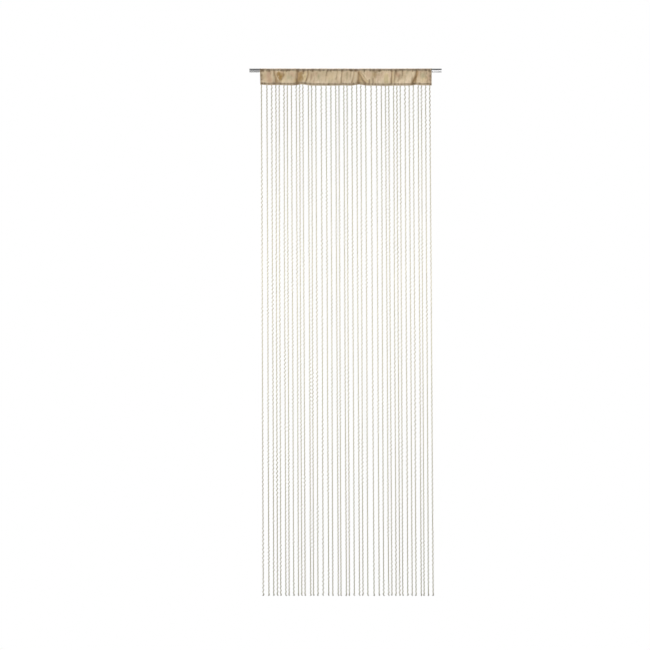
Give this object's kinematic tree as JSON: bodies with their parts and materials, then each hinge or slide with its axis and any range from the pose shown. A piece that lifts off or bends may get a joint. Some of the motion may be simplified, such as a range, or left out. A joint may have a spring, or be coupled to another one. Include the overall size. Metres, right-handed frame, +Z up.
{
  "type": "string curtain on a rod",
  "caption": "Beige string curtain: a gathered satin header folded over a chrome rod, with a fringe of long twisted strings hanging level from its hem.",
  "frame": {"origin": "on the rod's axis, midway along it", "axes": "+X along the rod to the right as seen from the front, -Y out of the front, +Z up, against the strings' drop"},
  "size_m": [0.91, 0.0237, 2.4984],
  "materials": {
    "rod": "polished tube, plain cut ends",
    "header": "beige satin weave, soft sheen, gathered and crushed",
    "strings": "beige twisted cord, matt"
  },
  "bodies": {
    "root": {"rod": "rod", "header": "header", "strings": "strings"}
  },
  "joints": []
}
